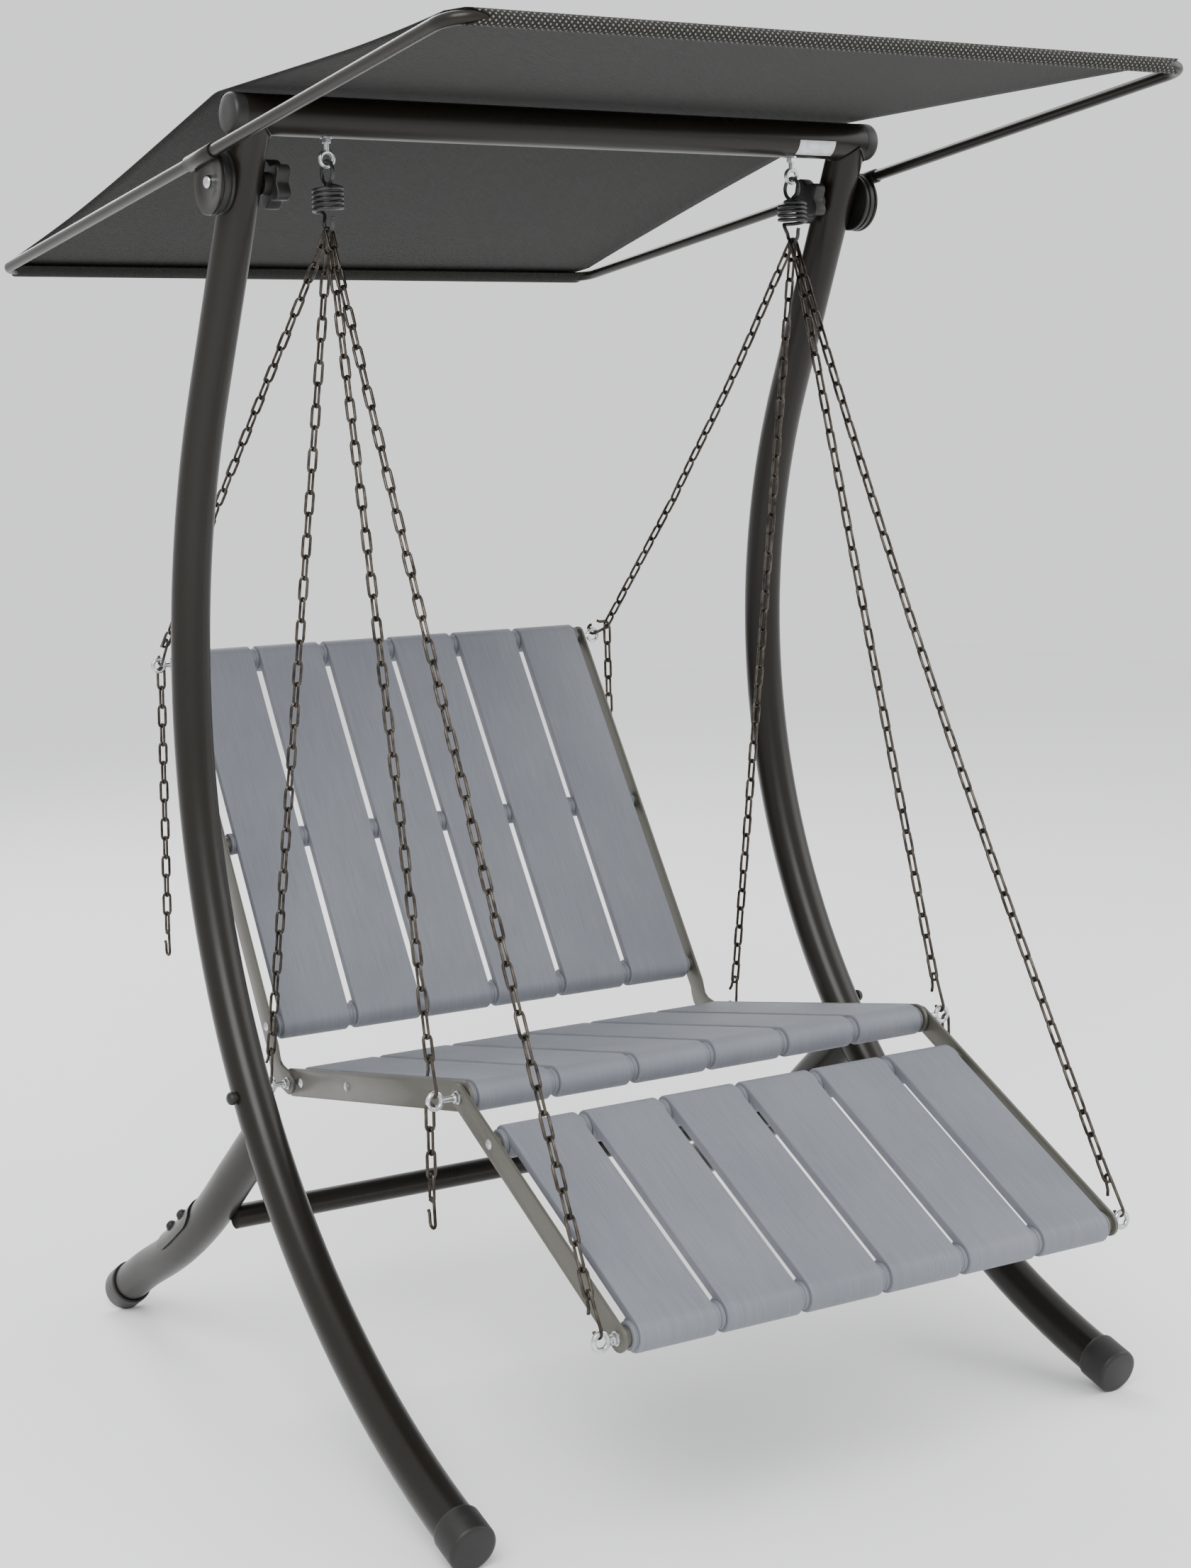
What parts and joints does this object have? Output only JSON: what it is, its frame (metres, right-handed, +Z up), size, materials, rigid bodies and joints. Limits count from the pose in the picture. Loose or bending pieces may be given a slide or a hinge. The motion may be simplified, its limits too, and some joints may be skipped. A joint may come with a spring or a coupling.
{
  "type": "porch swing",
  "caption": "Hanging garden swing bench with tilting canopy, reclining slatted backrest and raising slatted footrest, on a bow frame with springs and chains.",
  "frame": {"origin": "centre of the bounding box on the ground", "axes": "+X across the seat to the right seen from the front, +Y from the front to the back, so the sitter faces -Y, +Z up"},
  "size_m": [1.2272, 1.5658, 1.9151],
  "materials": {
    "frame_paint": "fine satin anthracite powder coat",
    "black_plastic": "black moulded plastic",
    "canopy_cloth": "dark open-weave coated mesh",
    "slat_plastic": "blue-grey moulded slats with faint lengthwise lines",
    "side_bar_paint": "satin taupe paint",
    "zinc_steel": "bright zinc plating",
    "chain_steel": "dark bronze-black burnished steel",
    "spring_steel": "black coated spring wire",
    "plate_metal": "matt silver"
  },
  "bodies": {
    "frame": {"crossbar": "frame_paint", "crossbar_cap_l": "black_plastic", "crossbar_cap_r": "black_plastic", "bow_l": "frame_paint", "bow_r": "frame_paint", "foot_cap_front_l": "black_plastic", "foot_cap_front_r": "black_plastic", "foot_cap_rear_l": "black_plastic", "foot_cap_rear_r": "black_plastic", "rear_leg_l": "frame_paint", "rear_leg_r": "frame_paint", "rear_foot_l": "frame_paint", "rear_foot_r": "frame_paint", "lower_bar": "frame_paint", "bow_bolt_l": "black_plastic", "bow_bolt_r": "black_plastic", "top_eye_l": "zinc_steel", "top_eye_r": "zinc_steel", "name_plate": "plate_metal", "friction_disc_l": "black_plastic", "friction_disc_r": "black_plastic"},
    "canopy": {"canopy_frame_front": "frame_paint", "canopy_frame_rear": "frame_paint", "canopy_clip_l": "frame_paint", "canopy_clip_r": "frame_paint", "canopy_fabric": "canopy_cloth", "tilt_bolt_l": "zinc_steel", "tilt_bolt_r": "zinc_steel"},
    "knob_l": {"tilt_knob_l": "black_plastic"},
    "knob_r": {"tilt_knob_r": "black_plastic"},
    "hanger": {"spring_l": "spring_steel", "spring_r": "spring_steel"},
    "seat": {"seat_frame": "side_bar_paint", "seat_slats": "slat_plastic", "rear_hinge_eye_l": "zinc_steel", "rear_hinge_eye_r": "zinc_steel", "front_hinge_eye_l": "zinc_steel", "front_hinge_eye_r": "zinc_steel", "seat_rear_chain_l": "chain_steel", "seat_rear_chain_r": "chain_steel", "seat_front_chain_l": "chain_steel", "seat_front_chain_r": "chain_steel"},
    "backrest": {"backrest_frame": "side_bar_paint", "backrest_slats": "slat_plastic", "back_eye_l": "zinc_steel", "back_eye_r": "zinc_steel"},
    "footrest": {"footrest_frame": "side_bar_paint", "footrest_slats": "slat_plastic", "footrest_eye_l": "zinc_steel", "footrest_eye_r": "zinc_steel"},
    "back_chain_top": {"back_chain_upper_l": "chain_steel", "back_chain_upper_r": "chain_steel"},
    "back_chain_end": {"back_chain_lower_l": "chain_steel", "back_chain_lower_r": "chain_steel"},
    "footrest_chain": {"footrest_chain_l": "chain_steel", "footrest_chain_r": "chain_steel"},
    "back_tail_l": {"back_tail_l": "chain_steel"},
    "back_tail_r": {"back_tail_r": "chain_steel"},
    "seat_tail_l": {"seat_tail_l": "chain_steel"},
    "seat_tail_r": {"seat_tail_r": "chain_steel"}
  },
  "joints": [
    {"name": "swing", "type": "hinge", "parent": "frame", "child": "hanger", "pos_m": [0, -0.1075, 1.804], "axis": [1, 0, 0], "range_deg": [-15, 15]},
    {"name": "spring_stretch", "type": "slide", "parent": "hanger", "child": "seat", "axis": [0, 0, -1], "range_m": [0, 0.015], "stiffness_N_per_m": 40000, "springref_m": -0.0135, "deforming": ["spring_l", "spring_r"]},
    {"name": "canopy_tilt", "type": "hinge", "parent": "frame", "child": "canopy", "pos_m": [0, -0.06671, 1.78], "axis": [1, 0, 0], "range_deg": [-12, 12]},
    {"name": "knob_turn_l", "type": "hinge", "parent": "canopy", "child": "knob_l", "pos_m": [-0.495, -0.06671, 1.78], "axis": [1, 0, 0], "continuous": true},
    {"name": "knob_turn_r", "type": "hinge", "parent": "canopy", "child": "knob_r", "pos_m": [0.495, -0.06671, 1.78], "axis": [1, 0, 0], "continuous": true},
    {"name": "backrest_recline", "type": "hinge", "parent": "seat", "child": "backrest", "pos_m": [0, 0.1325, 0.42], "axis": [-1, 0, 0], "range_deg": [0, 20]},
    {"name": "back_chain_turn", "type": "hinge", "parent": "seat", "child": "back_chain_top", "pos_m": [0, -0.1075, 1.711], "axis": [1, 0, 0], "range_deg": [-0.1, 1.4]},
    {"name": "back_chain_slide", "type": "slide", "parent": "back_chain_top", "child": "back_chain_end", "axis": [0, 0.6846, -0.729], "range_m": [0, 0.256]},
    {"name": "footrest_raise", "type": "hinge", "parent": "seat", "child": "footrest", "pos_m": [0, -0.3865, 0.514], "axis": [-1, 0, 0], "range_deg": [0, 30]},
    {"name": "footrest_chain_turn", "type": "hinge", "parent": "seat", "child": "footrest_chain", "pos_m": [0, -0.1075, 1.711], "axis": [-1, 0, 0], "range_deg": [-0.1, 5.9]},
    {"name": "back_tail_hang_l", "type": "hinge", "parent": "backrest", "child": "back_tail_l", "pos_m": [-0.435, 0.5245, 1.038], "axis": [1, 0, 0], "range_deg": [-40, 40]},
    {"name": "back_tail_hang_r", "type": "hinge", "parent": "backrest", "child": "back_tail_r", "pos_m": [0.435, 0.5245, 1.038], "axis": [1, 0, 0], "range_deg": [-40, 40]},
    {"name": "seat_tail_hang_l", "type": "hinge", "parent": "seat", "child": "seat_tail_l", "pos_m": [-0.451, -0.3865, 0.514], "axis": [1, 0, 0], "range_deg": [-40, 40]},
    {"name": "seat_tail_hang_r", "type": "hinge", "parent": "seat", "child": "seat_tail_r", "pos_m": [0.451, -0.3865, 0.514], "axis": [1, 0, 0], "range_deg": [-40, 40]}
  ],
  "couplings": [
    {"joint": "back_chain_turn", "follows": "backrest_recline", "ratio": 0.0625},
    {"joint": "back_chain_slide", "follows": "backrest_recline", "m_per_rad": 0.72644},
    {"joint": "footrest_chain_turn", "follows": "footrest_raise", "ratio": 0.19233}
  ]
}
